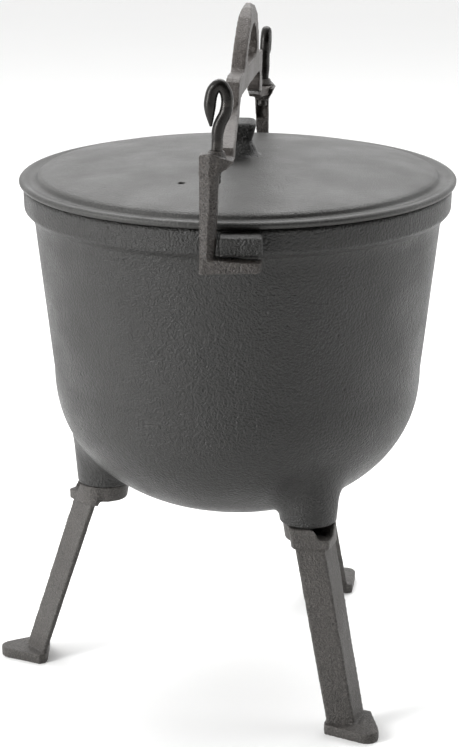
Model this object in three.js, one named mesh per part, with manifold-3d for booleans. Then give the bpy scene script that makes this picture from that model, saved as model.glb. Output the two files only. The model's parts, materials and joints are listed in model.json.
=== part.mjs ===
// A cast iron camping pot: a round-bottomed pot on three screwed-on legs, a lid with a cast knob, and a
// carrying handle whose two L-shaped hooks catch under the pot's lugs.
// Millimetres, +Z up. The near lug points along -Y. The part stands with the middle of its box's base
// on the origin.
import * as THREE from "three";
import { mergeVertices } from "three/addons/utils/BufferGeometryUtils.js";
import Module from "manifold-3d";

// ---- Driving dimensions -------------------------------------------------------------------------
const gap = 0.3; // between pieces that touch

const lidRadius = 160;
const rimTop = 377; // height of the pot's mouth above the ground
const bandRadius = 157; // the thick band round the mouth
const bandHeight = 18;
const wall = 5.5;
const bowlBottom = 132;
const bowlShoulder = { radius: 137.2, height: 238 }; // where the tapered side turns into the bowl
const sideTop = { radius: 149, height: 349 };
const bowlFullness = 2.2; // 2 is an ellipse, more is squarer

const legs = [
  { name: "left", place: -90, turn: 0.5 },
  { name: "front", place: 30, turn: 3 },
  { name: "rear", place: 150, turn: -5 },
]; // degrees round from the near lug, and how far past straight out each leg is screwed
const boss = { ring: 101, radius: 20.8, bottom: 145, top: 205, draft: 0.08 };
const stud = { radius: 4, intoBoss: 20 };
const nut = { acrossFlats: 13, height: 5 };
const legHead = { radius: 18.8, corner: 26, thick: 13, collar: 15.5, bevel: 20.8 };
const legBar = {
  cornerTop: 24.3, // how far out its ridge starts, under the head
  slope: 0.322,
  ridge: -2.8,
  nose: 14,
  left: 18.4,
  right: 17,
  edge: 3.4,
  taper: 0.94,
};
const pad = { heel: 46.5, heelHalf: 19.5, toe: 83.5, thick: 7.5 };

const lug = { half: 14.5, reach: 175, bottom: 362.5, top: 376 };
const knob = { half: 13.5, waist: 10.3, waistHeight: 408, top: 422.3 };
const vent = { radius: 2.5, from: 92.5, at: -25.6 };

// How the handle hangs: degrees round the pot, sideways and end to end.
const handle = { turn: -6.9, lean: 2.9, pitch: 0.9, feetHeight: 360 };
const bailThick = 10;
const armBend = { from: 88, to: 140, by: 5.2 }; // the bail's arms pass beside the eye bolts
const pin = { x: 0.6, y: -167, radius: 3.8 };
const eyeRadius = 4.1;
const bar = { left: -6.7, y: -173, depth: 12, top: 431.5, bottom: 350 };
const foot = { tip: 34.8, top: 360.6, thick: 10.6, thickAtTip: 6.4 };
const headBottom = 415;
const tongue = { bottom: 419.5, thick: 7, radius: 7.8 };

const roundSides = 72;
const degrees = Math.PI / 180;

// ---- Solids -------------------------------------------------------------------------------------
const wasm = await Module();
wasm.setup();

// A closed mesh as a solid that can be joined and cut.
function solid(geometry) {
  const bare = geometry.index ? geometry.toNonIndexed() : geometry.clone();
  bare.deleteAttribute("normal");
  bare.deleteAttribute("uv");
  const merged = mergeVertices(bare, 1e-4);
  return new wasm.Manifold(
    new wasm.Mesh({
      numProp: 3,
      vertProperties: merged.attributes.position.array,
      triVerts: new Uint32Array(merged.index.array),
    }),
  );
}

function geometryOf(body) {
  const mesh = body.getMesh();
  const geometry = new THREE.BufferGeometry();
  geometry.setAttribute("position", new THREE.BufferAttribute(mesh.vertProperties, 3));
  geometry.setIndex(new THREE.BufferAttribute(mesh.triVerts, 1));
  const flat = geometry.toNonIndexed();
  flat.computeVertexNormals();
  return flat;
}

function cylinder(radius, bottom, top, x = 0, y = 0, sides = 24, radiusTop = radius) {
  const height = top - bottom;
  const geometry = new THREE.CylinderGeometry(radiusTop, radius, height, sides);
  geometry.rotateX(Math.PI / 2);
  return solid(geometry.translate(x, y, bottom + height / 2));
}

// A turned solid from [radius, height] pairs that start and end on the axis, or close on themselves.
// The pairs may run either way round.
function turned(profile, sides = roundSides) {
  const points = profile.map(([r, z]) => new THREE.Vector2(r, z));
  if (THREE.ShapeUtils.isClockWise(points)) points.reverse();
  return solid(new THREE.LatheGeometry(points, sides).rotateX(Math.PI / 2));
}

// An upright prism over a plan outline of [x, y] pairs. shape(v, t) may move its points, where t goes
// from 0 at the bottom to 1 at the top.
function prism(outline, bottom, top, shape = () => {}, steps = 1) {
  const plan = new THREE.Shape(outline.map(([x, y]) => new THREE.Vector2(x, y)));
  const options = { depth: 1, steps, bevelEnabled: false, curveSegments: 6 };
  const geometry = new THREE.ExtrudeGeometry(plan, options);
  const position = geometry.attributes.position;
  const v = new THREE.Vector3();
  for (let i = 0; i < position.count; i++) {
    v.fromBufferAttribute(position, i);
    const t = v.z;
    v.z = bottom + (top - bottom) * t;
    shape(v, t);
    position.setXYZ(i, v.x, v.y, v.z);
  }
  return solid(geometry);
}

function arc(cx, cy, radius, from, to, steps) {
  const points = [];
  for (let i = 0; i <= steps; i++) {
    const a = (from + ((to - from) * i) / steps) * degrees;
    points.push([cx + radius * Math.cos(a), cy + radius * Math.sin(a)]);
  }
  return points;
}

// A rectangle with rounded corners.
function roundedBox(x0, y0, x1, y1, radius, steps = 3) {
  return [
    ...arc(x1 - radius, y1 - radius, radius, 0, 90, steps),
    ...arc(x0 + radius, y1 - radius, radius, 90, 180, steps),
    ...arc(x0 + radius, y0 + radius, radius, 180, 270, steps),
    ...arc(x1 - radius, y0 + radius, radius, 270, 360, steps),
  ];
}

// ---- Pot ----------------------------------------------------------------------------------------
// The bowl's outline below its shoulder, pulled in by inset: a squared ellipse down to the axis.
function bowlCurve(inset, steps) {
  const points = [];
  const radius = bowlShoulder.radius - inset;
  const depth = bowlShoulder.height - bowlBottom - inset;
  for (let i = 0; i <= steps; i++) {
    const a = (i / steps) * 90 * degrees;
    const r = radius * Math.cos(a) ** (2 / bowlFullness);
    points.push([i === steps ? 0 : r, bowlShoulder.height - depth * Math.sin(a) ** (2 / bowlFullness)]);
  }
  return points;
}

function makePot() {
  const bandBottom = rimTop - bandHeight;
  const outside = [
    [bandRadius - 1.5, rimTop],
    [bandRadius, rimTop - 1.5],
    [bandRadius, bandBottom + 2.5],
    [bandRadius - 2, bandBottom],
    [sideTop.radius + 2.5, bandBottom - 2.5],
    [sideTop.radius, sideTop.height],
    ...bowlCurve(0, 14),
  ];
  const inside = [
    ...bowlCurve(wall + 1, 12).reverse(),
    [sideTop.radius - wall, sideTop.height],
    [sideTop.radius - wall - 0.5, rimTop],
  ];
  let body = turned([...outside, ...inside, outside[0]]);
  const hollow = turned([[0, rimTop + 1], [sideTop.radius - wall - 0.5, rimTop + 1], ...[...inside].reverse()]);
  for (const { place } of legs) {
    const x = boss.ring * Math.sin(place * degrees);
    const y = -boss.ring * Math.cos(place * degrees);
    const topRadius = boss.radius + boss.draft * (boss.top - boss.bottom);
    body = body.add(cylinder(boss.radius, boss.bottom, boss.top, x, y, 36, topRadius));
    body = body.subtract(cylinder(stud.radius + gap, boss.bottom - 1, boss.bottom + stud.intoBoss + 1, x, y, 16));
  }
  for (const side of [-1, 1]) {
    const root = 145;
    const low = side < 0 ? -lug.reach : root;
    const high = side < 0 ? -root : lug.reach;
    body = body.add(prism(roundedBox(-lug.half, low, lug.half, high, 2.5), lug.bottom, lug.top));
  }
  return body.subtract(hollow);
}

// ---- Lid ----------------------------------------------------------------------------------------
const seat = rimTop + gap; // the lid's flange rests here

function makeLid() {
  const top = [
    [0, 397.2],
    [40, 396.6],
    [80, 394.4],
    [115, 390.8],
    [136, 387.4],
    [143.5, 385.6],
    [146.3, 384],
    [147.8, 381.7],
    [150.5, 380.9],
    [154.5, 382],
    [157, 382.9],
    [159.2, 382.2],
    [lidRadius, 380.5],
    [159.4, 378.6],
    [157.5, seat],
  ];
  const under = [
    [142, seat],
    [141.2, seat - 4],
    [137.5, seat - 4],
    [136, seat + 3],
    [115, 385.6],
    [80, 389.2],
    [40, 391.4],
    [0, 392],
  ];
  let body = turned([...top, ...under]);
  const waist = knob.waistHeight;
  const neck = [
    [0, 393],
    [17.5, 393],
    [16.5, 397.6],
    [14, 399],
    [13, 401.5],
    [12.4, 405],
    [10, waist + 0.5],
    [0, waist + 0.5],
  ];
  body = body.add(turned(neck, 36));
  const shrink = knob.waist / knob.half;
  const plan = roundedBox(-knob.half, -knob.half, knob.half, knob.half, 6, 4);
  body = body.add(
    prism(plan, waist, knob.top - 2.5, (v, t) => {
      v.x *= shrink + (1 - shrink) * t;
      v.y *= shrink + (1 - shrink) * t;
    }),
  );
  body = body.add(
    prism(plan, knob.top - 2.5, knob.top, (v, t) => {
      v.x *= 1 - 0.12 * t;
      v.y *= 1 - 0.12 * t;
    }),
  );
  const x = vent.from * Math.sin(vent.at * degrees);
  const y = -vent.from * Math.cos(vent.at * degrees);
  return body.subtract(cylinder(vent.radius, 370, 400, x, y, 16));
}

// ---- Legs ---------------------------------------------------------------------------------------
// A leg is drawn with its boss's axis on Z, the boss's face at Z = 0 and the foot out along +X.
const headTop = -gap;

function legSection(size) {
  const { ridge, nose, left, right, edge } = legBar;
  return [
    [0, ridge],
    [-nose, right],
    [-nose - edge, right - 1.5],
    [-nose - edge, 1.5 - left],
    [-nose, -left],
  ].map(([x, y]) => [x * size, y * size]);
}

function makeLeg() {
  const ground = -boss.bottom;
  const plate = cylinder(legHead.radius - 2, -legHead.thick, headTop, 0, 0, 36, legHead.radius);
  const collarPlan = [
    [legHead.corner, -1],
    [15, 12.3],
    [4.8, 18.3],
    [0, 18.3],
    [0, -18.6],
    [7.4, -21.5],
  ];
  const collar = prism(collarPlan, -legHead.collar, headTop, (v, t) => {
    if (t > 0.5) return;
    if (v.x < 10) v.x += 2.5 + Math.max(0, 2.5 - v.x);
    v.y = Math.max(v.y, -19.2);
  });
  const bevel = cylinder(legHead.bevel + 11.2, -legHead.collar - 1, headTop, 0, 0, 36, legHead.bevel);
  const barTop = -legHead.collar + 3;
  const barBottom = ground + pad.thick - 2;
  const section = legSection(1);
  const straight = prism(section, barBottom, barTop, (v, t) => {
    const size = legBar.taper + (1 - legBar.taper) * t;
    v.x = v.x * size + legBar.cornerTop + legBar.slope * (-15 - v.z);
    v.y *= size;
  });
  const sole = [
    ...arc(pad.toe - 9, 0, 9, -64, 64, 8),
    [pad.heel + 6, pad.heelHalf + 1.5],
    [pad.heel + 1.5, pad.heelHalf - 1],
    [pad.heel, pad.heelHalf - 6],
    [pad.heel, -pad.heelHalf + 6],
    [pad.heel + 1.5, -pad.heelHalf + 1],
    [pad.heel + 6, -pad.heelHalf - 1.5],
  ];
  const shoe = prism(sole, ground, ground + pad.thick);
  const pocket = cylinder(10, -8, 1, 0, 0, 24);
  const notch = [
    [0, -5.5],
    [40, -5.5],
    [40, 5.5],
    [0, 5.5],
  ];
  const window = prism(notch, -8, 1, (v, t) => {
    v.y *= 1 + 0.73 * t;
  });
  return plate
    .add(collar.intersect(bevel))
    .add(straight)
    .add(shoe)
    .subtract(pocket)
    .subtract(window)
    .subtract(cylinder(stud.radius + gap, -40, 0, 0, 0, 16));
}

const makeStud = () => cylinder(stud.radius, -legHead.thick + 1, stud.intoBoss, 0, 0, 16);

function makeNut() {
  const radius = nut.acrossFlats / Math.sqrt(3);
  const body = cylinder(radius, -gap - 1 - nut.height, -gap - 1, 0, 0, 6);
  return body.subtract(cylinder(stud.radius + gap, -20, 5, 0, 0, 16));
}

// ---- Handle -------------------------------------------------------------------------------------
// The handle is drawn hanging straight, with its middle on Z and its near end towards -Y. Every part
// of it has a twin half a turn round Z.
function halfTurn(body) {
  return body.rotate([0, 0, 180]);
}

// The bail in its own plane: [distance along the handle, height] from the crown outward and down.
const bailOuter = [
  [0, 510],
  [11, 507.6],
  [21, 501.8],
  [30, 494.8],
  [37.5, 488],
  [43, 482],
  [47.5, 475],
  [50.5, 469.5],
  [54, 467.5],
  [70, 467.5],
  [78, 466.5],
  [82, 464],
  [83.5, 460],
  [84, 449],
  [88, 446.5],
  [118, 441],
  [140, 435],
  [152, 431],
];
const bailInner = [
  [152, 420],
  [140, 423],
  [118, 428],
  [96, 432.5],
  [78, 434.5],
  [73, 437],
  [71, 442],
  [71, 447],
  [68, 450.5],
  [60, 452.2],
  [0, 452.4],
];
const bailHole = [
  [0, 495.5],
  [10, 494],
  [18, 490.5],
  [25, 485],
  [31, 479],
  [34, 473],
  [32, 469.5],
  [26, 468],
  [0, 468],
];

function mirrored(half) {
  const other = half.filter(([s]) => s > 0).map(([s, z]) => [-s, z]);
  return other.reverse();
}

// A plate standing in the handle's plane, over an outline of [distance along, height]. Its ends bend
// sideways, each to the other side.
function standing(outline, thick) {
  const shape = new THREE.Shape(outline.map(([s, z]) => new THREE.Vector2(s, z)));
  const geometry = new THREE.ExtrudeGeometry(shape, { depth: thick, bevelEnabled: false });
  geometry.rotateX(Math.PI / 2).rotateZ(Math.PI / 2).translate(-thick / 2, 0, 0);
  const position = geometry.attributes.position;
  for (let i = 0; i < position.count; i++) {
    const y = position.getY(i);
    const bend = armBend.by * THREE.MathUtils.smoothstep(Math.abs(y), armBend.from, armBend.to);
    position.setX(i, position.getX(i) - Math.sign(y) * bend);
  }
  return solid(geometry);
}

function makeBail() {
  const outline = [...mirrored(bailOuter), ...bailOuter, ...bailInner, ...mirrored(bailInner)];
  const hole = [...bailHole, ...mirrored(bailHole)];
  let body = standing(outline, bailThick).subtract(standing(hole, bailThick + 2));
  const top = tongue.bottom + tongue.thick;
  const bore = cylinder(pin.radius + gap, 400, 440, pin.x, pin.y, 20);
  const end = prism(tonguePlan(0), tongue.bottom, top).subtract(bore);
  body = body.add(end).add(halfTurn(end));
  return body;
}

// The bail's tongue in plan, grown by extra: it lies in the hook's slot, round the pin.
function tonguePlan(extra) {
  const half = bailThick / 2 + extra;
  const round = arc(pin.x, pin.y, tongue.radius + extra, 150, 370, 10);
  return [[armBend.by + half, -146], [armBend.by - half, -146], ...round];
}

// A hook, whose upright is bent sideways by sway per millimetre of height. Width is its upright's, and
// eave is how steeply its head slopes down to the left of its peak.
function makeHook(sway, width, eave) {
  const left = bar.left;
  const right = left + width;
  const front = bar.y - bar.depth / 2;
  const back = bar.y + bar.depth / 2;
  const ridge = [
    [left, back],
    [left, front + 4.5],
    [left + 6.6, front],
    [right - 2, front + 1.5],
    [right, front + 3.5],
    [right, back],
  ];
  const upright = prism(ridge, bar.bottom, bar.top - 6, (v, t) => {
    if (v.x > left + width / 2) v.x += 4 * t - 2;
    v.x += sway * (v.z - foot.top);
  });
  const sole = roundedBox(left + 0.5, front, foot.tip, back + 3, 2, 2);
  const toe = prism(sole, foot.top - foot.thick, foot.top, (v, t) => {
    const along = (v.x - left) / (foot.tip - left);
    if (t < 0.5) v.z += (foot.thick - foot.thickAtTip) * along;
  });
  const bend = sway * (bar.top - foot.top);
  const headLeft = Math.min(left + bend, pin.x - 9.4);
  const headRight = pin.x + 12;
  const headPlan = [
    [headLeft, back + 8],
    [headLeft, front + 4],
    [headLeft + 7.5, front - 0.5],
    [pin.x + 6, front + 1],
    [headRight, front + 5],
    [headRight, back + 8],
  ];
  const neck = sway * (headBottom - foot.top);
  const peak = headLeft + 7.5;
  const head = prism(headPlan, headBottom, bar.top, (v, t) => {
    if (t > 0.9) v.z -= v.x < peak ? eave * (peak - v.x) : 0.32 * (v.x - peak);
    if (t < 0.1) v.x = THREE.MathUtils.clamp(v.x, left + neck - 0.2, right + neck - 0.2);
  });
  const backRoof = [
    [-30, pin.y + 1],
    [30, pin.y + 1],
    [30, back + 9],
    [-30, back + 9],
  ];
  const slope = prism(backRoof, bar.top + 1, bar.top + 9, (v, t) => {
    if (t < 0.5) v.z -= 0.5 * (v.y - pin.y);
  });
  const lip = cylinder(pin.radius + 3, bar.top - 5, bar.top + 0.4, pin.x, pin.y, 20, pin.radius + 1.4);
  const slot = prism(tonguePlan(gap), tongue.bottom - gap, tongue.bottom + tongue.thick + gap);
  const bore = cylinder(pin.radius + gap, 400, 440, pin.x, pin.y, 20);
  return upright.add(toe).add(head.subtract(slope)).add(lip).subtract(slot).subtract(bore);
}

// A round rod along a path in the XZ plane, closed at both ends. radiusAt(t) gives its radius from
// t = 0 at the path's start to t = 1 at its end.
function bentRod(points, radiusAt, steps, sides) {
  const path = new THREE.CatmullRomCurve3(points.map(([x, z]) => new THREE.Vector3(x, 0, z)));
  const vertices = [];
  const faces = [];
  for (let i = 0; i <= steps; i++) {
    const centre = path.getPointAt(i / steps);
    const along = path.getTangentAt(i / steps);
    const radius = radiusAt(i / steps);
    for (let k = 0; k < sides; k++) {
      const a = (k / sides) * 2 * Math.PI;
      const out = radius * Math.cos(a);
      vertices.push(centre.x + along.z * out, radius * Math.sin(a), centre.z - along.x * out);
    }
  }
  for (let i = 0; i < steps; i++) {
    for (let k = 0; k < sides; k++) {
      const a = i * sides + k;
      const b = i * sides + ((k + 1) % sides);
      faces.push(a, b, b + sides, a, b + sides, a + sides);
    }
  }
  const last = steps * sides;
  for (let k = 1; k < sides - 1; k++) {
    faces.push(0, k + 1, k, last, last + k, last + k + 1);
  }
  const geometry = new THREE.BufferGeometry();
  geometry.setAttribute("position", new THREE.Float32BufferAttribute(vertices, 3));
  geometry.setIndex(faces);
  return solid(geometry);
}

// An eye bolt bent from round rod, with its axis on Z. Its eye closes to a tapered tip; drop says how
// much deeper than flush it is screwed in.
function makeEyeBolt(drop) {
  const eye = [
    [0, 436],
    [0, 444],
    [1.4, 450],
    [4.2, 456.5],
    [5.2, 463.5],
    [3.8, 470.6],
    [-0.2, 474.7],
    [-4.3, 471.2],
    [-5.8, 464.5],
    [-5.8, 457.5],
    [-5.1, 451.5],
    [-4.7, 447.4],
  ].map(([x, z]) => [x, z - drop]);
  const taper = (t) => {
    const swell = (eyeRadius - pin.radius) * THREE.MathUtils.smoothstep(t, 0.06, 0.12);
    return (pin.radius + swell) * (1 - 0.8 * Math.max(0, (t - 0.82) / 0.18));
  };
  const shank = cylinder(pin.radius, headBottom - 6, 437 - drop, 0, 0, 12);
  return shank.add(bentRod(eye, taper, 30, 12));
}

// ---- Assembly -----------------------------------------------------------------------------------
const iron = { color: 0x3b3b3a, roughness: 0.62, metalness: 0.35 };
const brownIron = { color: 0x57504c, roughness: 0.7, metalness: 0.35 };
const blackSteel = { color: 0x252423, roughness: 0.42, metalness: 0.6 };
const steel = { color: 0x5a5a58, roughness: 0.45, metalness: 0.8 };

function piece(name, body, finish) {
  const mesh = new THREE.Mesh(geometryOf(body), new THREE.MeshStandardMaterial(finish));
  mesh.name = name;
  return mesh;
}

const assembly = new THREE.Group();
assembly.add(piece("pot", makePot(), iron));
assembly.add(piece("lid", makeLid(), iron));

for (const { name, place, turn } of legs) {
  const set = new THREE.Group();
  set.position.set(boss.ring * Math.sin(place * degrees), -boss.ring * Math.cos(place * degrees), boss.bottom);
  set.rotation.z = (place + turn - 90) * degrees;
  set.add(piece(`leg_${name}`, makeLeg(), brownIron));
  set.add(piece(`leg_stud_${name}`, makeStud(), steel));
  set.add(piece(`leg_nut_${name}`, makeNut(), steel));
  assembly.add(set);
}

// The handle pitches about its near foot, leans about a line through its feet and turns round the pot.
const leaning = new THREE.Group();
leaning.position.z = handle.feetHeight;
leaning.rotation.y = handle.lean * degrees;
const hanging = new THREE.Group();
hanging.rotation.z = handle.turn * degrees;
const pitching = new THREE.Group();
pitching.position.y = bar.y;
pitching.rotation.x = -handle.pitch * degrees;
const body = new THREE.Group();
body.position.set(0, -bar.y, -handle.feetHeight);
assembly.add(leaning);
leaning.add(hanging);
hanging.add(pitching);
pitching.add(body);

body.add(piece("bail", makeBail(), brownIron));
const swayUpright = Math.tan(handle.lean * degrees);
for (const { end, half, sway, width, eave, eyeTurn, drop } of [
  { end: "near", half: 0, sway: -swayUpright, width: 11.6, eave: 0.34, eyeTurn: -handle.turn, drop: 0 },
  { end: "far", half: 180, sway: swayUpright, width: 9.4, eave: 0.85, eyeTurn: 90, drop: 5.2 },
]) {
  const side = new THREE.Group();
  side.rotation.z = half * degrees;
  side.add(piece(`hook_${end}`, makeHook(sway, width, eave), brownIron));
  const bolt = piece(`eye_bolt_${end}`, makeEyeBolt(drop), blackSteel);
  bolt.position.set(pin.x, pin.y, 0);
  bolt.rotation.z = eyeTurn * degrees;
  side.add(bolt);
  body.add(side);
}

// Stands the middle of the box's base on the origin.
const group = new THREE.Group();
group.add(assembly);
const box = new THREE.Box3().setFromObject(assembly, true);
const middle = box.getCenter(new THREE.Vector3());
assembly.position.set(-middle.x, -middle.y, 0);

export default group;
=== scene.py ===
"""A cast iron camping pot on three legs, with its lid and carrying handle, dressed for rendering.

Lengths are millimetres, and metres in the studio. Heights are above the ground, and radii are from the
pot's own axis, which is the middle of the lid's box.
"""

import json
import math

import bmesh
import bpy
from mathutils import Matrix, Vector, noise


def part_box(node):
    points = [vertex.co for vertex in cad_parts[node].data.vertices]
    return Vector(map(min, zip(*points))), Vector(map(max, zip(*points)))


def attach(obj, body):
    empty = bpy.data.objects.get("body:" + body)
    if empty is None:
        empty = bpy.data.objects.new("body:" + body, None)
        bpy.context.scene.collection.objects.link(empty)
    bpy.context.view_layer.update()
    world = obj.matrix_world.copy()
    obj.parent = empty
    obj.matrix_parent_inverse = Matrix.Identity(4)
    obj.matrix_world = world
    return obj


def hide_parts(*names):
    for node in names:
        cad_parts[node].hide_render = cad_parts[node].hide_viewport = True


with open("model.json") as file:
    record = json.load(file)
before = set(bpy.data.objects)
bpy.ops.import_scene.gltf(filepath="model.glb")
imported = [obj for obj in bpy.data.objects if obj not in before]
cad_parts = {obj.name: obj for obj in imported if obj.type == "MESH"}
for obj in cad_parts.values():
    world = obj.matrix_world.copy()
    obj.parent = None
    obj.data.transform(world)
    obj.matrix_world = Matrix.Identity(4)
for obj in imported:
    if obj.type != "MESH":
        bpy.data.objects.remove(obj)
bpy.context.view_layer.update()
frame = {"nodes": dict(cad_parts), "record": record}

MM = 0.001
lid_low, lid_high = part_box("lid")
AXIS = Vector(((lid_low[0] + lid_high[0]) / 2, (lid_low[1] + lid_high[1]) / 2, 0)) / MM
LEG_PLACES = {"left": -90, "front": 30, "rear": 150}  # degrees round from the near lug


# ---- Curves and outlines --------------------------------------------------------------------------
def bent(a, corner, b, steps):
    """Points along the curve from a to b that corner pulls towards itself."""
    fractions = [k / steps for k in range(steps + 1)]
    return [a * (1 - t) ** 2 + corner * (2 * t * (1 - t)) + b * t**2 for t in fractions]


def rounded(points, radius, steps):
    """The path through these points with each inner corner cut back by radius and rounded."""
    points = [Vector(p) for p in points]
    out = [points[0]]
    for before, p, after in zip(points, points[1:], points[2:]):
        cut = min(radius, (before - p).length * 0.45, (after - p).length * 0.45)
        a = p + (before - p).normalized() * cut
        b = p + (after - p).normalized() * cut
        out += bent(a, p, b, steps)
    out.append(points[-1])
    return out


def filled(path, longest):
    """The path with points added so that no step is longer than this."""
    out = [path[0]]
    for a, b in zip(path, path[1:]):
        parts = max(1, math.ceil((b - a).length / longest))
        out += [a.lerp(b, k / parts) for k in range(1, parts + 1)]
    return out


def spline(points, steps):
    """A Catmull-Rom curve through 3D points, with this many steps between each pair."""
    points = [Vector(p) for p in points]
    ends = [points[0] * 2 - points[1], *points, points[-1] * 2 - points[-2]]
    out = []
    for i in range(1, len(ends) - 2):
        p0, p1, p2, p3 = ends[i - 1 : i + 3]
        slope = p2 - p0
        square = 2 * p0 - 5 * p1 + 4 * p2 - p3
        cube = 3 * p1 - p0 - 3 * p2 + p3
        for k in range(steps):
            t = k / steps
            out.append(0.5 * (2 * p1 + slope * t + square * t**2 + cube * t**3))
    out.append(points[-1])
    return out


def flat_spline(points, steps):
    """The same for [radius, height] pairs."""
    return [p.to_2d() for p in spline([(x, y, 0) for x, y in points], steps)]


def centre_of(ring):
    return sum(ring, Vector()) / len(ring)


def outward(degrees):
    """The level direction at this many degrees round from the near lug."""
    turn = math.radians(degrees)
    return Vector((math.sin(turn), -math.cos(turn), 0))


def circle(sides):
    """Unit vectors in the level plane, evenly spaced."""
    turns = [2 * math.pi * k / sides for k in range(sides)]
    return [Vector((math.cos(a), math.sin(a), 0)) for a in turns]


# ---- Meshes ---------------------------------------------------------------------------------------
class Shell:
    """Vertices and faces in millimetres, gathered from several surfaces."""

    def __init__(self):
        self.vertices = []
        self.faces = []

    def loft(self, rings):
        """A solid through closed rings that all have as many points, with a fan over each end."""
        start = len(self.vertices)
        size = len(rings[0])
        for ring in rings:
            self.vertices += ring
        for i in range(len(rings) - 1):
            for k in range(size):
                a = start + i * size + k
                b = start + i * size + (k + 1) % size
                self.faces.append((a, b, b + size, a + size))
        for ring, order in ((0, -1), (len(rings) - 1, 1)):
            middle = len(self.vertices)
            self.vertices.append(centre_of(rings[ring]))
            first = start + ring * size
            for k in range(size):
                pair = (first + k, first + (k + 1) % size)
                self.faces.append((middle, *pair[::order]))

    def turned(self, profile, sides):
        """A solid of revolution about the pot's axis, over [radius, height] points from axis to axis."""
        profile = [Vector(p) for p in profile]
        start = len(self.vertices)
        self.vertices.append(Vector((AXIS.x, AXIS.y, profile[0].y)))
        for r, z in profile[1:-1]:
            for k in range(sides):
                a = 2 * math.pi * k / sides
                self.vertices.append(Vector((AXIS.x + r * math.cos(a), AXIS.y + r * math.sin(a), z)))
        end = len(self.vertices)
        self.vertices.append(Vector((AXIS.x, AXIS.y, profile[-1].y)))
        rows = len(profile) - 2
        for k in range(sides):
            after = (k + 1) % sides
            self.faces.append((start, start + 1 + k, start + 1 + after))
            for i in range(rows - 1):
                a = start + 1 + i * sides
                self.faces.append((a + k, a + sides + k, a + sides + after, a + after))
            last = start + 1 + (rows - 1) * sides
            self.faces.append((last + k, end, last + after))

    def block(self, low, high, bevel):
        """A box with rounded edges, fine enough to be made uneven."""
        bm = bmesh.new()
        bmesh.ops.create_cube(bm, size=1)
        low = Vector(low)
        high = Vector(high)
        for v in bm.verts:
            v.co = Vector([low[i] + (high[i] - low[i]) * (v.co[i] + 0.5) for i in range(3)])
        bmesh.ops.bevel(bm, geom=bm.edges[:], offset=bevel, segments=4, profile=0.5, affect="EDGES")
        long = [e for e in bm.edges if e.calc_length() > 4 * bevel]
        bmesh.ops.subdivide_edges(bm, edges=long, cuts=14, use_grid_fill=True)
        start = len(self.vertices)
        self.vertices += [v.co.copy() for v in bm.verts]
        self.faces += [tuple(start + v.index for v in f.verts) for f in bm.faces]
        bm.free()

    def object(self, name):
        mesh = bpy.data.meshes.new(name)
        mesh.from_pydata([v * MM for v in self.vertices], [], self.faces)
        bm = bmesh.new()
        bm.from_mesh(mesh)
        bmesh.ops.recalc_face_normals(bm, faces=bm.faces)
        bm.to_mesh(mesh)
        bm.free()
        return linked(name, mesh)


def linked(name, mesh):
    mesh.polygons.foreach_set("use_smooth", [True] * len(mesh.polygons))
    piece = bpy.data.objects.new(name, mesh)
    bpy.context.scene.collection.objects.link(piece)
    return piece


def settled(piece):
    """Applies the piece's modifiers."""
    evaluated = piece.evaluated_get(bpy.context.evaluated_depsgraph_get())
    mesh = bpy.data.meshes.new_from_object(evaluated)
    piece.modifiers.clear()
    piece.data = mesh
    mesh.polygons.foreach_set("use_smooth", [True] * len(mesh.polygons))


def uneven(piece, depth, size, seed, where=None):
    """Moves each vertex a little along its normal, as a sand casting's skin wanders."""
    offset = Vector((seed, seed * 1.7, -seed))
    normals = [v.normal.copy() for v in piece.data.vertices]
    for v, normal in zip(piece.data.vertices, normals):
        if where and not where(v.co / MM):
            continue
        wave = noise.noise(v.co / (size * MM) + offset)
        v.co = v.co + normal * (wave * depth * MM)


def casting(name, node, voxel, smoothing, wander, shape=None):
    """A cast copy of a CAD piece: its edges and inner corners rounded off and its skin slightly uneven.
    shape, if given, moves each vertex after that."""
    piece = linked(name, frame["nodes"][node].data.copy())
    piece.data.materials.clear()
    remesh = piece.modifiers.new("remesh", "REMESH")
    remesh.mode = "VOXEL"
    remesh.voxel_size = voxel * MM
    smooth = piece.modifiers.new("smooth", "SMOOTH")
    smooth.factor = 0.5
    smooth.iterations = smoothing
    settled(piece)
    uneven(piece, wander, 7, len(name))
    uneven(piece, wander * 0.55, 2.2, len(name) + 4)
    if shape:
        for v in piece.data.vertices:
            v.co = shape(v.co / MM) * MM
    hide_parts(node)
    return piece


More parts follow.
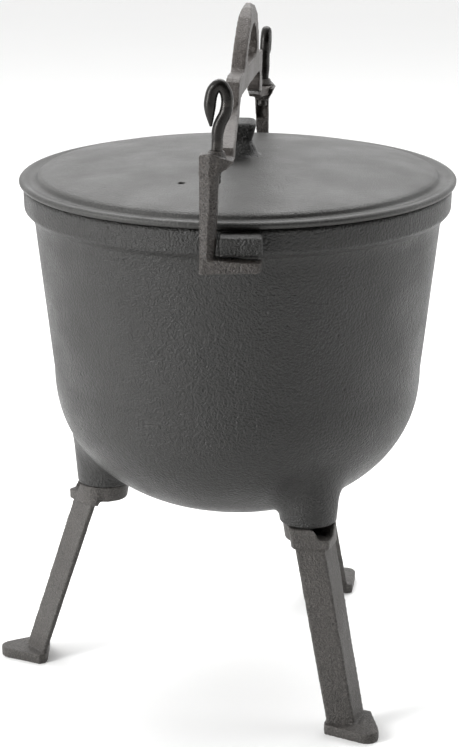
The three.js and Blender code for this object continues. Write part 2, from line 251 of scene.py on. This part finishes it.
# ---- Materials ------------------------------------------------------------------------------------
class Nodes:
    """A material's node tree, with short calls for the nodes used here."""

    def __init__(self, name):
        self.material = bpy.data.materials.new(name)
        self.material.use_nodes = True
        self.tree = self.material.node_tree
        self.shader = self.tree.nodes["Principled BSDF"]
        self.place = self.tree.nodes.new("ShaderNodeTexCoord").outputs["Object"]

    def add(self, kind, inputs=None, **settings):
        node = self.tree.nodes.new("ShaderNode" + kind)
        for key, value in settings.items():
            setattr(node, key, value)
        for key, value in (inputs or {}).items():
            if isinstance(value, bpy.types.NodeSocket):
                self.tree.links.new(value, node.inputs[key])
            else:
                node.inputs[key].default_value = value
        return node

    def noise(self, scale, detail=3.0, roughness=0.55):
        inputs = {"Vector": self.place, "Scale": scale, "Detail": detail, "Roughness": roughness}
        return self.add("TexNoise", inputs).outputs["Fac"]

    def range(self, value, low, high, to_low, to_high):
        inputs = {"Value": value, "From Min": low, "From Max": high, "To Min": to_low, "To Max": to_high}
        return self.add("MapRange", inputs).outputs["Result"]

    def blend(self, amount, a, b):
        node = self.add("Mix", data_type="RGBA")
        for socket, value in ((node.inputs[0], amount), (node.inputs[6], a), (node.inputs[7], b)):
            if isinstance(value, bpy.types.NodeSocket):
                self.tree.links.new(value, socket)
            else:
                socket.default_value = value
        return node.outputs[2]

    def sum(self, a, b):
        return self.add("Math", {0: a, 1: b}, operation="ADD").outputs[0]

    def times(self, a, b):
        return self.add("Math", {0: a, 1: b}, operation="MULTIPLY").outputs[0]

    def bump(self, height, distance, strength, under=None):
        """A bumped normal. Distance is in metres, and under is the normal it is laid on."""
        inputs = {"Height": height, "Distance": distance, "Strength": strength}
        if under is not None:
            inputs["Normal"] = under
        return self.add("Bump", inputs).outputs["Normal"]

    def finish(self, color, roughness, normal):
        self.tree.links.new(color, self.shader.inputs["Base Color"])
        self.tree.links.new(roughness, self.shader.inputs["Roughness"])
        self.tree.links.new(normal, self.shader.inputs["Normal"])
        return self.material


def iron(name, dark, light, edge, grain, depth, gloss, metal):
    """Cast iron skin: sand grain of this size and depth in millimetres with painted highlights on its
    specks, pores, patches and rubbed edges.
    """
    n = Nodes(name)
    fine = n.noise(1100 / grain, 2.0, 0.6)
    coarse = n.noise(560 / grain, 1.0, 0.5)
    patches = n.noise(26, 3.0)
    clouds = n.noise(9, 2.0)
    pores = n.add("TexVoronoi", {"Vector": n.place, "Scale": 240 / grain}, feature="F1").outputs["Distance"]
    pit = n.range(pores, 0.0, 0.22, 1.0, 0.0)
    sparse = n.range(n.noise(60, 2.0), 0.56, 0.66, 0.0, 1.0)
    pits = n.times(pit, sparse)
    tone = n.sum(n.range(patches, 0.35, 0.7, 0.0, 0.6), n.range(clouds, 0.35, 0.65, 0.0, 0.4))
    color = n.blend(tone, dark, light)
    # Lighter specks on the fine grain: painted highlights where light would catch the sand grain.
    color = n.blend(n.range(fine, 0.42, 0.68, 0.0, 0.55), color, edge)
    sharpness = n.add("NewGeometry").outputs["Pointiness"]
    worn = n.times(n.range(sharpness, 0.53, 0.62, 0.0, 0.8), n.range(patches, 0.3, 0.6, 0.5, 1.0))
    color = n.blend(worn, color, edge)
    color = n.blend(n.times(pits, 0.55), color, (0.012, 0.011, 0.01, 1))
    patchy = n.range(patches, 0.3, 0.7, gloss - 0.07, gloss + 0.09)
    rough = n.sum(patchy, n.range(fine, 0.3, 0.7, -0.05, 0.07))
    wave = n.bump(clouds, 0.0012, 0.35)
    rolling = n.bump(coarse, depth * 0.4 * MM, 0.6, wave)
    sand = n.bump(fine, depth * MM, 1.0, rolling)
    pitted = n.bump(n.times(pits, -1.0), depth * 1.2 * MM, 0.7, sand)
    n.shader.inputs["Metallic"].default_value = metal
    n.shader.inputs["Specular IOR Level"].default_value = 0.45
    return n.finish(color, rough, pitted)


def black_rod(name):
    """Blackened, lightly oiled round steel with drawing marks and rubbed spots."""
    n = Nodes(name)
    scale = n.noise(120, 4.0, 0.6)
    fine = n.noise(900, 2.0)
    rub = n.range(n.noise(45, 3.0), 0.52, 0.66, 0.0, 0.7)
    color = n.blend(scale, (0.005, 0.0045, 0.004, 1), (0.016, 0.014, 0.012, 1))
    color = n.blend(rub, color, (0.06, 0.055, 0.05, 1))
    rough = n.range(scale, 0.3, 0.7, 0.20, 0.38)
    low = n.bump(scale, 0.0005, 0.4)
    n.shader.inputs["Metallic"].default_value = 0.55
    return n.finish(color, rough, n.bump(fine, 0.0002, 0.5, low))


def plain_steel(name):
    """Machined fastener steel, dulled and a little rusty in its corners."""
    n = Nodes(name)
    fine = n.noise(700, 3.0)
    stains = n.range(n.noise(140, 3.0), 0.45, 0.65, 0.0, 0.8)
    color = n.blend(stains, (0.16, 0.155, 0.15, 1), (0.07, 0.045, 0.032, 1))
    rough = n.range(fine, 0.3, 0.7, 0.32, 0.5)
    n.shader.inputs["Metallic"].default_value = 0.85
    return n.finish(color, rough, n.bump(fine, 0.0002, 0.6))


pot_iron = iron(
    "pot_iron",
    dark=(0.008, 0.0078, 0.0072, 1),
    light=(0.014, 0.0137, 0.0127, 1),
    edge=(0.032, 0.031, 0.029, 1),
    grain=1.7,
    depth=1.5,
    gloss=0.39,
    metal=0.04,
)
# The lid's iron is paler than the pot's: painted light on its upward-facing top.
lid_iron_with_painted_light = iron(
    "lid_iron_with_painted_light",
    dark=(0.023, 0.0226, 0.0215, 1),
    light=(0.033, 0.0325, 0.031, 1),
    edge=(0.068, 0.067, 0.063, 1),
    grain=1.5,
    depth=0.40,
    gloss=0.43,
    metal=0.25,
)
leg_iron = iron(
    "leg_iron",
    dark=(0.033, 0.0305, 0.028, 1),
    light=(0.054, 0.050, 0.047, 1),
    edge=(0.14, 0.13, 0.12, 1),
    grain=1.3,
    depth=1.1,
    gloss=0.46,
    metal=0.25,
)
bail_iron = iron(
    "bail_iron",
    dark=(0.040, 0.034, 0.031, 1),
    light=(0.072, 0.063, 0.057, 1),
    edge=(0.16, 0.147, 0.137, 1),
    grain=1.1,
    depth=0.6,
    gloss=0.42,
    metal=0.25,
)
# The hooks' iron is darker than the bail's: painted shade for their faces turned to the camera.
hook_iron_with_painted_shade = iron(
    "hook_iron_with_painted_shade",
    dark=(0.013, 0.0105, 0.0090, 1),
    light=(0.024, 0.020, 0.0175, 1),
    edge=(0.10, 0.088, 0.079, 1),
    grain=1.5,
    depth=1.3,
    gloss=0.33,
    metal=0.08,
)
rod_steel = black_rod("rod_steel")
nut_steel = plain_steel("nut_steel")


def dressed(piece, material, body):
    piece.data.materials.clear()
    piece.data.materials.append(material)
    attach(piece, body)


# ---- Pot ------------------------------------------------------------------------------------------
BOWL_BOTTOM = 132.0
SHOULDER = Vector((137.2, 238.0))  # radius and height where the bowl turns into the tapered side
SIDE_TOP = Vector((149.0, 349.0))
FULLNESS = 2.2  # 2 is an ellipse, more is squarer
WALL = 5.5
RIM_TOP = 377.0
MOUTH = 143.2  # inner radius at the rim
BAND = 157.0
BAND_BOTTOM = 359.0
BOSS_RING = 101  # the legs' studs are this far from the axis
BOSS_BOTTOM = 145
BOSS_RADIUS = 20.8
BOSS_DRAFT = 0.08
BOSS_REACH = 17  # how far the fillet runs from the corner, along the boss and along the bowl
LUG_HALF = 14.5
LUG_FROM = 146
LUG_TO = 175
LUG_BOTTOM = 362.5
LUG_TOP = 376


def bowl_curve(inset, steps):
    """The bowl's outline this far inside its skin, as [radius, height] from the shoulder to the axis."""
    radius = SHOULDER.x - inset
    depth = SHOULDER.y - BOWL_BOTTOM - inset
    points = []
    for i in range(steps + 1):
        a = (i / steps) * math.pi / 2
        r = radius * max(0.0, math.cos(a)) ** (2 / FULLNESS)
        points.append(Vector((r, SHOULDER.y - depth * math.sin(a) ** (2 / FULLNESS))))
    points[-1].x = 0
    return points


def surface_radius(z):
    """Radius of the outside at this height, up to the side's top."""
    if z >= SHOULDER.y:
        t = (z - SHOULDER.y) / (SIDE_TOP.y - SHOULDER.y)
        return SHOULDER.x + (SIDE_TOP.x - SHOULDER.x) * t
    t = (SHOULDER.y - z) / (SHOULDER.y - BOWL_BOTTOM)
    return SHOULDER.x * max(0.0, 1 - t**FULLNESS) ** (1 / FULLNESS)


def on_surface(p, sink=0.0):
    """The nearest point of the outside to p, sunk into the wall."""
    flat = Vector((p.x - AXIS.x, p.y - AXIS.y))
    r, z = flat.length, p.z
    best = min(PROFILE_POINTS, key=lambda q: (q.x - r) ** 2 + (q.y - z) ** 2)
    i = PROFILE_POINTS.index(best)
    ahead = PROFILE_POINTS[min(i + 1, len(PROFILE_POINTS) - 1)]
    behind = PROFILE_POINTS[max(i - 1, 0)]
    tangent = (ahead - behind).normalized()
    along = (Vector((r, z)) - best).dot(tangent)
    foot = best + tangent * along
    normal = Vector((tangent.y, -tangent.x))
    if normal.x < 0 or (abs(normal.x) < 1e-6 and normal.y > 0):
        normal = -normal
    foot = foot - normal * sink
    out = flat.normalized()
    return Vector((AXIS.x + out.x * foot.x, AXIS.y + out.y * foot.x, foot.y))


PROFILE_POINTS = filled([SIDE_TOP, *bowl_curve(0, 160)], 1.0)


def boss_skin(axis, out):
    """The boss's outline in one direction, from its rounded bottom edge up its fillet onto the bowl. It
    goes on inside the bowl's wall towards the boss's axis, where nothing of it shows."""

    def wall(z):
        return axis + out * (BOSS_RADIUS + BOSS_DRAFT * (z - BOSS_BOTTOM)) + Vector((0, 0, z))

    z = BOSS_BOTTOM + 1.0
    while (wall(z) - AXIS).to_2d().length > surface_radius(z):
        z += 0.25
    corner = wall(z)
    low = wall(max(BOSS_BOTTOM + 3.0, z - BOSS_REACH))
    normal = (corner - on_surface(corner + out * 0.01, 3)).normalized()
    up_bowl = (out - normal * out.dot(normal)).normalized()
    high = on_surface(corner + up_bowl * BOSS_REACH, 0.25)

    edge = ((0, 1.6), (0.25, 0.6), (1, 0.08), (2, 0))
    skin = [wall(BOSS_BOTTOM + rise) - out * inset for rise, inset in edge]
    skin += [skin[-1].lerp(low, t) for t in (0.34, 0.67)]
    skin += bent(low, corner, high, 13)
    sunk = 2.6
    middle = on_surface(axis + Vector((0, 0, 175)), sunk)
    skin += [on_surface(high.lerp(middle, t), sunk) for t in (0.0, 0.3, 0.6, 0.85)]
    return skin


def boss(shell, place):
    """A leg boss that flows out of the bowl."""
    axis = AXIS + outward(place) * BOSS_RING
    skins = [boss_skin(axis, out) for out in circle(72)]
    shell.loft([list(ring) for ring in zip(*skins)])


def make_pot():
    """The cast pot, with a rough skin on the ends of its lugs."""
    shell = Shell()
    rim = [
        (MOUTH, RIM_TOP - 2.2),
        (MOUTH + 1.2, RIM_TOP),
        (BAND - 1.6, RIM_TOP),
        (BAND, RIM_TOP - 2),
        (BAND - 0.4, BAND_BOTTOM + 1.6),
        (BAND - 2.6, BAND_BOTTOM - 0.8),
        (SIDE_TOP.x + 2.2, BAND_BOTTOM - 3.2),
        tuple(SIDE_TOP),
    ]
    outside = rounded(rim, 1.7, 4)
    side = filled([SIDE_TOP, SHOULDER], 4)[1:]
    inner_bowl = bowl_curve(WALL + 1, 60)[::-1]
    inner_side = filled([Vector((SIDE_TOP.x - WALL, SIDE_TOP.y)), Vector((MOUTH, RIM_TOP - 2.2))], 5)
    profile = inner_bowl + inner_side + outside[1:] + side + bowl_curve(0, 80)[1:]
    shell.turned(profile, 192)
    for place in LEG_PLACES.values():
        boss(shell, place)
    for y0, y1 in ((-LUG_TO, -LUG_FROM), (LUG_FROM, LUG_TO)):
        low = (AXIS.x - LUG_HALF, AXIS.y + y0, LUG_BOTTOM)
        high = (AXIS.x + LUG_HALF, AXIS.y + y1, LUG_TOP)
        shell.block(low, high, 2.0)
    piece = shell.object("pot_body")
    uneven(piece, 0.12, 30, 3)
    uneven(piece, 0.3, 7, 8, lambda p: p.z > LUG_BOTTOM - 1.5 and abs(p.y - AXIS.y) > BAND + 1.5)
    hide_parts("pot")
    dressed(piece, pot_iron, "pot")


# ---- Lid ------------------------------------------------------------------------------------------
VENT_FROM_AXIS = 92.5
VENT_PLACE = -25.6  # degrees round from the near lug
VENT_RADIUS = 2.5


def make_lid():
    """The dished plate with its step, rolled edge and steam vent, and the knob on it."""
    dome = flat_spline([(0, 397.2), (40, 396.6), (80, 394.5), (115, 390.9), (134, 387.9), (140, 386.7)], 8)
    step = [(143.6, 385.7), (146.2, 384.3), (147.6, 382.0), (150.2, 380.9), (153.0, 381.5)]
    edge = [(156.0, 382.7), (158.3, 382.6), (159.8, 381.4), (160.0, 380.2), (159.5, 378.6), (157.4, 377.4)]
    under = [(142.2, 377.4), (141.2, 376.4), (141.0, 373.4), (137.7, 373.4), (136.4, 379.8)]
    hollow = flat_spline([(134, 380.9), (115, 385.6), (80, 389.2), (40, 391.4), (0, 392)], 6)
    rim = rounded([tuple(dome[-1]), *step, *edge, *under, (134, 380.9)], 0.9, 3)
    profile = dome[:-1] + filled(rim, 3) + hollow[1:]
    shell = Shell()
    shell.turned(profile, 192)
    piece = shell.object("lid_plate")
    uneven(piece, 0.10, 34, 9)
    tool = vent_drill()
    cut = piece.modifiers.new("vent", "BOOLEAN")
    cut.object = tool
    cut.operation = "DIFFERENCE"
    cut.solver = "EXACT"
    settled(piece)
    bpy.data.objects.remove(tool)
    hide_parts("lid")
    dressed(piece, lid_iron_with_painted_light, "lid")
    # The knob wears the pot's darker iron rather than the lid's: painted shade on its sides, which stand in
    # shadow.
    dressed(make_knob(), pot_iron, "lid")


def vent_drill():
    """The vent's hole as a solid, wider at the top so that its edge comes out worn."""
    centre = AXIS + outward(VENT_PLACE) * VENT_FROM_AXIS
    levels = ((380, 0), (393.2, 0), (394.2, 0.6), (396, 1.9))
    drill = Shell()
    rings = []
    for z, wider in levels:
        rings.append([centre + out * (VENT_RADIUS + wider) + Vector((0, 0, z)) for out in circle(32)])
    drill.loft(rings)
    return drill.object("vent_tool")


def make_knob():
    """A square cast knob that flares out over its round foot: [height, half width, squareness]."""
    sections = [
        (394.5, 20.5, 2),
        (396.6, 18.6, 2),
        (397.6, 16.4, 2),
        (398.8, 14.9, 2.05),
        (400.5, 13.9, 2.2),
        (403, 13.0, 2.5),
        (405.5, 12.0, 3),
        (407, 11.0, 3.6),
        (408.2, 10.5, 4.4),
        (409.6, 10.7, 5),
        (413, 11.7, 5.5),
        (416.5, 12.7, 5.5),
        (419.2, 13.4, 5.5),
        (420.6, 13.4, 5.2),
        (421.6, 12.7, 4.8),
        (422.1, 11.4, 4.4),
        (422.3, 9, 4),
        (422.3, 5, 3),
    ]
    sides = 96
    rings = []
    for z, half, square in sections:
        ring = []
        for k in range(sides):
            a = 2 * math.pi * (k + 0.5) / sides
            c, s = math.cos(a), math.sin(a)
            r = half / (abs(c) ** square + abs(s) ** square) ** (1 / square)
            ring.append(AXIS + Vector((r * c, r * s, z)))
        rings.append(ring)
    smooth = []
    for a, b in zip(rings, rings[1:]):
        smooth += [a, [p.lerp(q, 0.5) for p, q in zip(a, b)]]
    smooth.append(rings[-1])
    shell = Shell()
    shell.loft(smooth)
    piece = shell.object("lid_knob")
    uneven(piece, 0.12, 8, 5)
    return piece


# ---- Legs -----------------------------------------------------------------------------------------
COLLAR_BOTTOM = 129.4
COLLAR_PROUD = 1.7


def collared(place):
    """A shape for casting() that makes the collar at the top of the leg stand proud of the bar below it,
    and keeps its sole level with the ground."""
    out = outward(place)
    stud = AXIS + out * BOSS_RING

    def moved(p):
        p.z = max(p.z, 0.0)
        arm = Vector((p.x - stud.x, p.y - stud.y, 0))
        in_front = arm.dot(out) - 4
        if p.z < COLLAR_BOTTOM or arm.length < 12 or in_front < 0:
            return p
        return p + arm.normalized() * (COLLAR_PROUD * min(1.0, in_front / 6))

    return moved


def make_legs():
    for side, place in LEG_PLACES.items():
        leg = casting(f"leg_casting_{side}", f"leg_{side}", 0.9, 3, 0.2, collared(place))
        dressed(leg, leg_iron, "pot")
        for part in ("stud", "nut"):
            node = frame["nodes"][f"leg_{part}_{side}"]
            node.data.materials.clear()
            node.data.materials.append(nut_steel)


# ---- Handle ---------------------------------------------------------------------------------------
HANDLE_LEAN = Matrix.Rotation(math.radians(2.9), 3, "Y")
HANDLE_TILT = HANDLE_LEAN @ Matrix.Rotation(math.radians(-6.9), 3, "Z")
HANDLE_UP = HANDLE_TILT @ Vector((0, 0, 1))
HANDLE_ACROSS = HANDLE_TILT @ Vector((1, 0, 0))
FEET_HEIGHT = 360
CROWN_FROM = 134.5  # above the feet
CROWN_RISE = 13.3


def crown(p):
    """A shape for casting() that rounds over the top of the grip, across its thickness."""
    from_foot = p - AXIS - Vector((0, 0, FEET_HEIGHT))
    rise = from_foot.dot(HANDLE_UP) - CROWN_FROM
    if rise < 0:
        return p
    kept = math.sqrt(max(0.06, 1 - (rise / CROWN_RISE) ** 2))
    return p - HANDLE_ACROSS * (from_foot.dot(HANDLE_ACROSS) * (1 - kept))


def make_handle():
    for name, node, voxel, smoothing, shape, skin in (
        ("bail_casting", "bail", 0.9, 3, crown, bail_iron),
        ("hook_casting_near", "hook_near", 0.7, 2, None, hook_iron_with_painted_shade),
        ("hook_casting_far", "hook_far", 0.7, 2, None, hook_iron_with_painted_shade),
    ):
        piece = casting(name, node, voxel, smoothing, 0.16, shape)
        dressed(piece, skin, "handle")


ROD_RADIUS = 3.8
THREAD_DEPTH = 0.35
THREAD_TOP = 432
JOINT_HEIGHT = 430  # the height in the path below that lies at the joint's own place


def rod_radius(z, along, step):
    """The rod's radius at this height, this share of the way along it: threaded at the bottom, a little
    fuller where it is bent, and forged to a point."""
    radius = ROD_RADIUS + 0.3 * min(1.0, max(0.0, (z - 439) / 5))
    radius *= 1 - 0.78 * max(0.0, (along - 0.86) / 0.14) ** 1.3
    if step == 0:
        radius -= 0.8
    if z < THREAD_TOP and step % 2 and step > 1:
        radius -= THREAD_DEPTH
    return radius


def make_eye_bolt(end, facing, drop):
    """A bent-rod eye bolt about its joint's own axis. facing is the direction its eye opens along, and
    drop is how much lower than the other its eye sits."""
    joints = {j["name"]: j for j in frame["record"]["behaviour"]["joints"]}
    joint = joints[f"eye_bolt_{end}_turn"]
    base = Vector(joint["pos_m"]) / MM
    up = Vector(joint["axis"]).normalized()
    across = (facing - up * facing.dot(up)).normalized()
    side = up.cross(across)
    path = [
        (0, 409.6),
        (0, 420),
        (0, 436),
        (0, 444),
        (1.4, 450),
        (4.2, 456.5),
        (5.2, 463.5),
        (3.8, 470.6),
        (-0.2, 474.7),
        (-4.3, 471.2),
        (-5.8, 464.5),
        (-5.8, 457.5),
        (-5.1, 451.5),
        (-4.7, 447.6),
    ]
    points = spline([(x, 0, z - (drop if z > JOINT_HEIGHT else 0)) for x, z in path], 8)
    lengths = [0.0]
    for a, b in zip(points, points[1:]):
        lengths.append(lengths[-1] + (b - a).length)
    rings = []
    for i, p in enumerate(points):
        radius = rod_radius(p.z + drop, lengths[i] / lengths[-1], i)
        before = points[max(i - 1, 0)]
        after = points[min(i + 1, len(points) - 1)]
        tangent = (after - before).normalized()
        out = Vector((tangent.z, 0, -tangent.x))
        ring = []
        for c in circle(24):
            q = p + out * (radius * c.x) + Vector((0, radius * c.y, 0))
            ring.append(base + across * q.x + side * q.y + up * (q.z - JOINT_HEIGHT))
        rings.append(ring)
    centre = centre_of(rings[-1])
    beyond = (points[-1] - points[-2]).z * up * 0.6
    rings.append([centre.lerp(p, 0.55) + beyond for p in rings[-1]])
    shell = Shell()
    shell.loft(rings)
    piece = shell.object(f"eye_rod_{end}")
    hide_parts(f"eye_bolt_{end}")
    dressed(piece, rod_steel, f"eye_bolt_{end}")


make_pot()
make_lid()
make_legs()
make_handle()
make_eye_bolt("near", Vector((1, 0, 0)), 0)
far_turn = math.radians(263.1)
make_eye_bolt("far", Vector((math.cos(far_turn), math.sin(far_turn), 0)), 5.2)


# ---- Studio ---------------------------------------------------------------------------------------
def floor():
    mesh = bpy.data.meshes.new("studio_floor")
    half = 30.0
    corners = [(-half, -half, 0), (half, -half, 0), (half, half, 0), (-half, half, 0)]
    mesh.from_pydata(corners, [], [(0, 1, 2, 3)])
    piece = bpy.data.objects.new("studio_floor", mesh)
    bpy.context.scene.collection.objects.link(piece)
    n = Nodes("floor_paper")
    tone = n.noise(3.0, 2.0)
    color = n.blend(tone, (0.94, 0.94, 0.935, 1), (0.96, 0.96, 0.955, 1))
    rough = n.range(tone, 0.0, 1.0, 0.7, 0.75)
    mesh.materials.append(n.finish(color, rough, n.bump(n.noise(400), 0.0001, 0.1)))


def soft_light(name, place, aim, width, height, watts):
    light = bpy.data.lights.new(name, "AREA")
    light.shape = "RECTANGLE"
    light.size = width
    light.size_y = height
    light.energy = watts
    piece = bpy.data.objects.new(name, light)
    piece.location = place
    piece.rotation_euler = (Vector(aim) - Vector(place)).to_track_quat("-Z", "Y").to_euler()
    bpy.context.scene.collection.objects.link(piece)


DARK_SIDE = Vector((0.62, -0.78, 0.05))  # the bowl's dark stripe reflects the room in this direction


def room():
    """A white surround that falls off to black towards the dark side."""
    world = bpy.data.worlds.new("studio")
    bpy.context.scene.world = world
    world.use_nodes = True
    tree = world.node_tree
    background = tree.nodes["Background"]
    background.inputs["Color"].default_value = (1, 1, 1, 1)
    direction = tree.nodes.new("ShaderNodeTexCoord").outputs["Generated"]
    toward = tree.nodes.new("ShaderNodeVectorMath")
    toward.operation = "DOT_PRODUCT"
    toward.inputs[1].default_value = DARK_SIDE
    tree.links.new(direction, toward.inputs[0])
    shade = tree.nodes.new("ShaderNodeMapRange")
    shade.interpolation_type = "SMOOTHSTEP"
    falloff = {"From Min": 0.0, "From Max": 0.7, "To Min": 1.28, "To Max": 0.0}
    for key, value in falloff.items():
        shade.inputs[key].default_value = value
    tree.links.new(toward.outputs["Value"], shade.inputs["Value"])
    tree.links.new(shade.outputs["Result"], background.inputs["Strength"])


def studio():
    room()
    soft_light("overhead", (0.1, 1.1, 1.9), (0, 0, 0.35), 2.0, 1.2, 32)
    soft_light("left", (-1.75, -0.95, 0.9), (0, 0, 0.25), 0.5, 1.5, 38)
    soft_light("right", (1.9, 0.2, 0.9), (0, 0, 0.25), 0.8, 1.6, 12)
    bpy.context.scene.view_settings.view_transform = "Standard"


def camera():
    """Looks down on the pot from the near lug's side, with a fairly long lens. Lengths in millimetres."""
    data = bpy.data.cameras.new("camera")
    data.sensor_fit = "VERTICAL"
    data.sensor_height = 36
    data.lens = 104.1
    piece = bpy.data.objects.new("camera", data)
    piece.location = (AXIS + outward(-0.7) * 1558 + Vector((0, 0, 709))) * MM
    piece.rotation_euler = (math.radians(90 - 17.12), 0, math.radians(-0.48))
    bpy.context.scene.collection.objects.link(piece)
    bpy.context.scene.camera = piece


floor()
studio()
camera()
